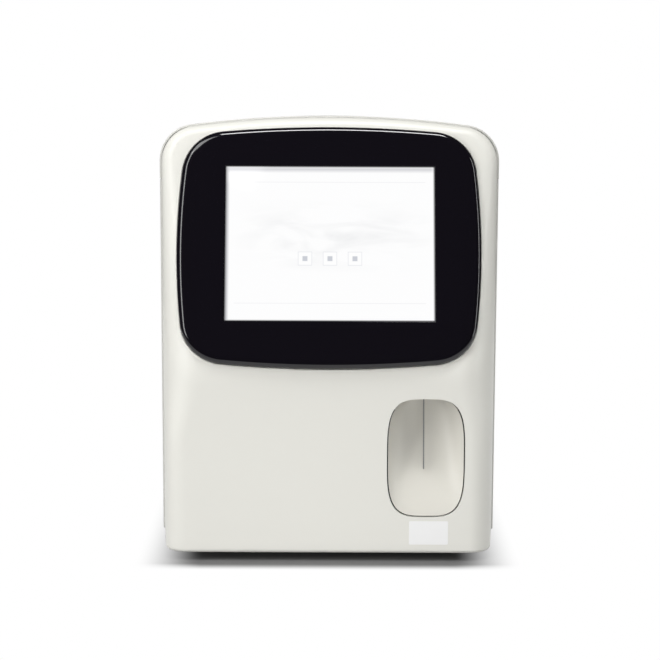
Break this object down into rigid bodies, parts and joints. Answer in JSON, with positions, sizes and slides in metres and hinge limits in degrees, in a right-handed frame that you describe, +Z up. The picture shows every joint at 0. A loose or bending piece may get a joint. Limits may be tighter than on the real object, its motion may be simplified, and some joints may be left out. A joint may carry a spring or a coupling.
{
  "type": "hematology analyzer",
  "caption": "Bench-top blood cell analyzer with a leaning touch screen, a dished aspirate key under a needle, a side service door and rear fluid ports.",
  "frame": {"origin": "on the bench under the middle of the whole unit, rear fittings and display surround included", "axes": "+Z up, front with the display towards -Y, +X to the right as seen from the front"},
  "size_m": [0.353, 0.4388, 0.4504],
  "materials": {
    "housing": "warm white moulded plastic, fine satin texture",
    "key": "grey-beige moulded plastic",
    "bezel": "gloss black surround",
    "touch_glass": "touch panel over a lit white display",
    "black_plastic": "black moulded plastic",
    "rubber": "black rubber",
    "painted_sheet": "warm white powder coat",
    "zinc_sheet": "zinc plated sheet",
    "steel": "stainless steel",
    "aluminium": "plain aluminium",
    "clear_plastic": "clear acrylic",
    "white_polymer": "white engineering plastic",
    "board_green": "green solder mask",
    "blue_plastic": "blue moulded fitting",
    "yellow_plastic": "yellow moulded fitting",
    "red_plastic": "red moulded fitting"
  },
  "bodies": {
    "case": {"base_plate": "zinc_sheet", "bath_bracket": "aluminium", "diluent_barrel": "clear_plastic", "diluent_motor": "black_plastic", "diluent_port": "blue_plastic", "display_bezel": "bezel", "display_bracket": "zinc_sheet", "door_catch": "black_plastic", "door_hinge_lower": "zinc_sheet", "door_hinge_upper": "zinc_sheet", "door_post": "zinc_sheet", "fan_frame": "black_plastic", "fan_guard": "steel", "foot_front_left": "rubber", "foot_front_right": "rubber", "foot_rear_left": "rubber", "foot_rear_right": "rubber", "front_cover": "housing", "guide_rod_left": "steel", "guide_rod_right": "steel", "io_board": "board_green", "key_bracket": "key", "key_pin": "steel", "key_spring": "steel", "key_switch": "black_plastic", "lcd_module": "zinc_sheet", "left_panel": "painted_sheet", "lift_motor": "black_plastic", "lyse_port": "yellow_plastic", "main_board": "board_green", "partition_wall": "zinc_sheet", "power_inlet": "black_plastic", "power_supply": "aluminium", "probe_wipe": "white_polymer", "rbc_bath": "clear_plastic", "rear_panel": "painted_sheet", "sample_barrel": "clear_plastic", "sample_motor": "black_plastic", "sampling_frame": "zinc_sheet", "switch_frame": "black_plastic", "syringe_frame": "aluminium", "top_cover": "housing", "touch_glass": "touch_glass", "vacuum_chamber": "white_polymer", "valve_manifold": "white_polymer", "waste_port": "red_plastic", "waste_pump": "black_plastic", "wbc_bath": "clear_plastic"},
    "door": {"right_door": "painted_sheet"},
    "key": {"aspirate_key": "key"},
    "probe": {"sample_probe": "steel", "probe_carriage": "aluminium"},
    "lift_screw": {"lift_screw": "steel"},
    "sample_plunger": {"sample_plunger": "steel"},
    "diluent_plunger": {"diluent_plunger": "steel"},
    "sample_screw": {"sample_screw": "steel"},
    "diluent_screw": {"diluent_screw": "steel"},
    "fan": {"fan_rotor": "black_plastic"},
    "pump": {"pump_rotor": "white_polymer"},
    "rocker": {"power_rocker": "black_plastic"}
  },
  "joints": [
    {"name": "door_swing", "type": "hinge", "parent": "case", "child": "door", "pos_m": [0.1713, 0.19988, 0.2], "axis": [0, 0, 1], "range_deg": [0, 105]},
    {"name": "key_press", "type": "hinge", "parent": "case", "child": "key", "pos_m": [0.0993, -0.19862, 0.187], "axis": [1, 0, 0], "range_deg": [0, 2], "stiffness_Nm_per_rad": 8, "springref_deg": -1.15},
    {"name": "probe_lift", "type": "slide", "parent": "case", "child": "probe", "axis": [0, 0.1736, 0.9848], "range_m": [0, 0.07]},
    {"name": "lift_screw_spin", "type": "hinge", "parent": "case", "child": "lift_screw", "pos_m": [0.0975, -0.16693, 0.18661], "axis": [0, 0.1736, 0.9848], "range_deg": [0, 3151]},
    {"name": "sample_stroke", "type": "slide", "parent": "case", "child": "sample_plunger", "axis": [0, 0, -1], "range_m": [0, 0.05]},
    {"name": "sample_screw_spin", "type": "hinge", "parent": "case", "child": "sample_screw", "pos_m": [0.098, -0.07, 0.1397], "axis": [0, 0, -1], "range_deg": [0, 2251]},
    {"name": "diluent_stroke", "type": "slide", "parent": "case", "child": "diluent_plunger", "axis": [0, 0, -1], "range_m": [0, 0.05]},
    {"name": "diluent_screw_spin", "type": "hinge", "parent": "case", "child": "diluent_screw", "pos_m": [0.098, -0.03, 0.1397], "axis": [0, 0, -1], "range_deg": [0, 2251]},
    {"name": "fan_spin", "type": "hinge", "parent": "case", "child": "fan", "pos_m": [-0.095, 0.17988, 0.3], "axis": [0, 1, 0], "continuous": true},
    {"name": "pump_spin", "type": "hinge", "parent": "case", "child": "pump", "pos_m": [0.0766, 0.05, 0.075], "axis": [1, 0, 0], "continuous": true},
    {"name": "rocker_tilt", "type": "hinge", "parent": "case", "child": "rocker", "pos_m": [-0.078, 0.19735, 0.07], "axis": [1, 0, 0], "range_deg": [0, 16]}
  ],
  "couplings": [
    {"joint": "lift_screw_spin", "follows": "probe_lift", "rad_per_m": 785.4},
    {"joint": "sample_screw_spin", "follows": "sample_stroke", "rad_per_m": 785.4},
    {"joint": "diluent_screw_spin", "follows": "diluent_stroke", "rad_per_m": 785.4}
  ]
}
